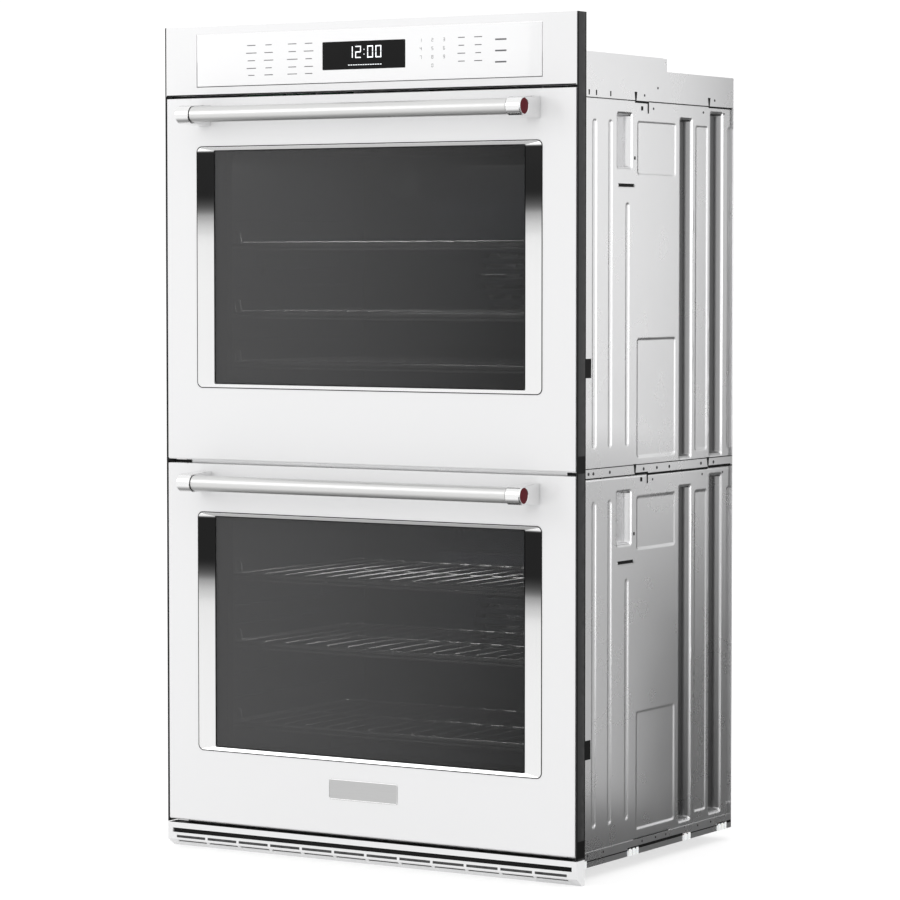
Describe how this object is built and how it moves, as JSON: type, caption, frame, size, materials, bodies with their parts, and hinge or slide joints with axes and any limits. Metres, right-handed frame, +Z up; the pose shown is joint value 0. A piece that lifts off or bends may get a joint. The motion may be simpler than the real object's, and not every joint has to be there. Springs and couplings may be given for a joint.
{
  "type": "double wall oven",
  "caption": "Built-in double wall oven: white drop-front doors with dark windows and bar handles under a touch-control fascia, on a galvanised casing.",
  "frame": {"origin": "centre of the base pan's underside, on the cabinet deck", "axes": "+X to the user's right, -Y towards the user, +Z up"},
  "size_m": [0.762, 0.661, 1.317],
  "materials": {
    "white_enamel": "gloss white enamel",
    "white_glass": "back-painted white touch panel",
    "chrome": "bright polished",
    "brushed_steel": "satin, brushed along the bar",
    "tinted_glass": "dark tinted tempered glass",
    "clear_glass": "clear tempered glass",
    "galvanised_steel": "galvanised sheet",
    "dark_trim": "dark grey satin",
    "dark_enamel": "dark speckled porcelain enamel",
    "rack_plating": "nickel-plated wire",
    "gasket_braid": "woven glass-fibre braid",
    "heater_sheath": "oxidised heater sheath",
    "circuit_board": "green solder mask",
    "plain_steel": "plain bright metal"
  },
  "bodies": {
    "casing": {"control_fascia": "white_enamel", "touch_glass": "white_glass", "vent_trim": "white_enamel", "top_housing": "galvanised_steel", "mid_deck": "galvanised_steel", "base_pan": "galvanised_steel", "back_panel": "galvanised_steel", "rear_cover": "galvanised_steel", "conduit_gland": "plain_steel", "power_board": "circuit_board", "blower_housing": "plain_steel", "side_trim_left": "dark_trim", "side_trim_right": "dark_trim", "upper_cavity": "dark_enamel", "upper_gasket": "gasket_braid", "upper_fan_cover": "dark_enamel", "upper_broil_element": "heater_sheath", "upper_side_panel_left": "galvanised_steel", "upper_hinge_arm_left": "plain_steel", "upper_side_panel_right": "galvanised_steel", "upper_hinge_arm_right": "plain_steel", "lower_cavity": "dark_enamel", "lower_gasket": "gasket_braid", "lower_fan_cover": "dark_enamel", "lower_broil_element": "heater_sheath", "lower_side_panel_left": "galvanised_steel", "lower_hinge_arm_left": "plain_steel", "lower_side_panel_right": "galvanised_steel", "lower_hinge_arm_right": "plain_steel"},
    "blower": {"blower_wheel": "plain_steel"},
    "upper_door": {"upper_door_skin": "white_enamel", "upper_window_bezel": "chrome", "upper_outer_glass": "tinted_glass", "upper_door_liner": "dark_enamel", "upper_inner_glass": "clear_glass", "upper_handle_bar": "brushed_steel", "upper_hinge_clevis_left": "plain_steel", "upper_handle_bracket_left": "chrome", "upper_hinge_clevis_right": "plain_steel", "upper_handle_bracket_right": "chrome"},
    "upper_convection_fan": {"upper_fan": "plain_steel"},
    "upper_door_lock": {"upper_latch": "plain_steel"},
    "upper_bottom_rack": {"upper_rack_bottom": "rack_plating"},
    "upper_middle_rack": {"upper_rack_middle": "rack_plating"},
    "upper_top_rack": {"upper_rack_top": "rack_plating"},
    "lower_door": {"lower_door_skin": "white_enamel", "lower_window_bezel": "chrome", "lower_outer_glass": "tinted_glass", "lower_door_liner": "dark_enamel", "lower_inner_glass": "clear_glass", "lower_handle_bar": "brushed_steel", "lower_hinge_clevis_left": "plain_steel", "lower_handle_bracket_left": "chrome", "lower_hinge_clevis_right": "plain_steel", "lower_handle_bracket_right": "chrome"},
    "lower_convection_fan": {"lower_fan": "plain_steel"},
    "lower_door_lock": {"lower_latch": "plain_steel"},
    "lower_bottom_rack": {"lower_rack_bottom": "rack_plating"},
    "lower_middle_rack": {"lower_rack_middle": "rack_plating"},
    "lower_top_rack": {"lower_rack_top": "rack_plating"}
  },
  "joints": [
    {"name": "upper_door_hinge", "type": "hinge", "parent": "casing", "child": "upper_door", "pos_m": [0, -0.288, 0.6199], "axis": [1, 0, 0], "range_deg": [0, 88], "stiffness_Nm_per_rad": 20, "springref_deg": -28.65},
    {"name": "upper_bottom_rack_slide", "type": "slide", "parent": "casing", "child": "upper_bottom_rack", "axis": [0, -1, 0], "range_m": [0, 0.167]},
    {"name": "upper_middle_rack_slide", "type": "slide", "parent": "casing", "child": "upper_middle_rack", "axis": [0, -1, 0], "range_m": [0, 0.262]},
    {"name": "upper_top_rack_slide", "type": "slide", "parent": "casing", "child": "upper_top_rack", "axis": [0, -1, 0], "range_m": [0, 0.342]},
    {"name": "upper_fan_spin", "type": "hinge", "parent": "casing", "child": "upper_convection_fan", "pos_m": [0, 0.161, 0.9014], "axis": [0, 1, 0], "continuous": true},
    {"name": "upper_latch_slide", "type": "slide", "parent": "casing", "child": "upper_door_lock", "axis": [0, -1, 0], "range_m": [0, 0.012]},
    {"name": "lower_door_hinge", "type": "hinge", "parent": "casing", "child": "lower_door", "pos_m": [0, -0.288, 0.0373], "axis": [1, 0, 0], "range_deg": [0, 88], "stiffness_Nm_per_rad": 20, "springref_deg": -28.65},
    {"name": "lower_bottom_rack_slide", "type": "slide", "parent": "casing", "child": "lower_bottom_rack", "axis": [0, -1, 0], "range_m": [0, 0.167]},
    {"name": "lower_middle_rack_slide", "type": "slide", "parent": "casing", "child": "lower_middle_rack", "axis": [0, -1, 0], "range_m": [0, 0.262]},
    {"name": "lower_top_rack_slide", "type": "slide", "parent": "casing", "child": "lower_top_rack", "axis": [0, -1, 0], "range_m": [0, 0.342]},
    {"name": "lower_fan_spin", "type": "hinge", "parent": "casing", "child": "lower_convection_fan", "pos_m": [0, 0.161, 0.3188], "axis": [0, 1, 0], "continuous": true},
    {"name": "lower_latch_slide", "type": "slide", "parent": "casing", "child": "lower_door_lock", "axis": [0, -1, 0], "range_m": [0, 0.012]},
    {"name": "blower_spin", "type": "hinge", "parent": "casing", "child": "blower", "pos_m": [0, 0.1, 1.1985], "axis": [1, 0, 0], "continuous": true}
  ],
  "couplings": [
    {"joint": "upper_bottom_rack_slide", "follows": "upper_door_hinge", "m_per_rad": 0.1074},
    {"joint": "upper_middle_rack_slide", "follows": "upper_door_hinge", "m_per_rad": 0.1693},
    {"joint": "upper_top_rack_slide", "follows": "upper_door_hinge", "m_per_rad": 0.2214},
    {"joint": "lower_bottom_rack_slide", "follows": "lower_door_hinge", "m_per_rad": 0.1074},
    {"joint": "lower_middle_rack_slide", "follows": "lower_door_hinge", "m_per_rad": 0.1693},
    {"joint": "lower_top_rack_slide", "follows": "lower_door_hinge", "m_per_rad": 0.2214}
  ]
}
